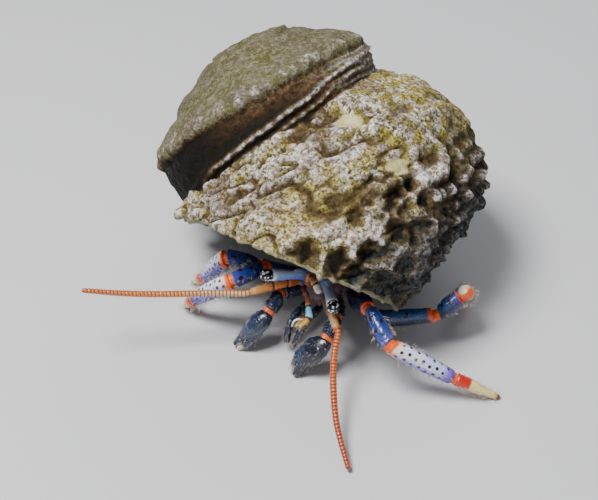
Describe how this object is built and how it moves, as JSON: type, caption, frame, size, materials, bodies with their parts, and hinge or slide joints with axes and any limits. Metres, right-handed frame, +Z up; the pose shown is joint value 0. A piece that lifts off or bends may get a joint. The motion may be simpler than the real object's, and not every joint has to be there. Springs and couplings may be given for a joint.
{
  "type": "hermit crab in a sea snail shell",
  "caption": "Still life-size model of a small blue-legged hermit crab walking out of an encrusted turban snail shell.",
  "frame": {"origin": "on the floor, at the bottom centre of the model's box", "axes": "+Z up, the crab looks along -Y, +X is the crab's left side and the long feelers span X"},
  "size_m": [0.0318, 0.0308, 0.019],
  "materials": {
    "shell": "rough, chalky and encrusted sea snail shell with spiral cords, worn ridges and dark stained grooves",
    "leg_blue": "glossy thin horny armour, deep blue with darker spots",
    "leg_pale": "glossy pale blue armour with rows of dark spots and orange bands",
    "leg_tip": "glossy pale yellow toes with an orange-red band and dark horny tips",
    "claw": "dark blue-black claw armour with pale blue and pink beads",
    "eyestalk": "smooth pale blue-white eyestalks",
    "eye": "polished black eyes with fine white flecks",
    "antenna_base": "orange and yellow segments at the root of the antennae",
    "feeler": "finely ringed orange-brown feelers",
    "shield": "dark blue shield with pale flecks",
    "flesh": "soft moist skin of the trunk and abdomen"
  },
  "bodies": {
    "root": {"shell": "shell", "leg2-left-merus": "leg_blue", "leg2-left-carpus": "leg_blue", "leg2-left-propodus": "leg_pale", "leg2-left-dactyl": "leg_tip", "leg2-right-merus": "leg_blue", "leg2-right-carpus": "leg_blue", "leg2-right-propodus": "leg_pale", "leg2-right-dactyl": "leg_tip", "leg3-left-merus": "leg_blue", "leg3-left-carpus": "leg_blue", "leg3-left-propodus": "leg_pale", "leg3-left-dactyl": "leg_tip", "leg3-right-merus": "leg_blue", "leg3-right-carpus": "leg_blue", "leg3-right-propodus": "leg_pale", "leg3-right-dactyl": "leg_tip", "claw-left-merus": "claw", "claw-left-carpus": "claw", "claw-left-palm": "claw", "claw-left-finger": "claw", "claw-right-merus": "claw", "claw-right-carpus": "claw", "claw-right-palm": "claw", "claw-right-finger": "claw", "eyestalk-left": "eyestalk", "eye-left": "eye", "eyestalk-right": "eyestalk", "eye-right": "eye", "antenna-stem-left": "antenna_base", "antenna-left": "feeler", "antennule-left": "feeler", "antenna-stem-right": "antenna_base", "antenna-right": "feeler", "antennule-right": "feeler", "mouth-limb-left": "claw", "leg4-left": "claw", "mouth-limb-right": "claw", "leg4-right": "claw", "thorax": "flesh", "shield": "shield", "abdomen": "flesh", "tail-fan": "claw"}
  },
  "joints": []
}
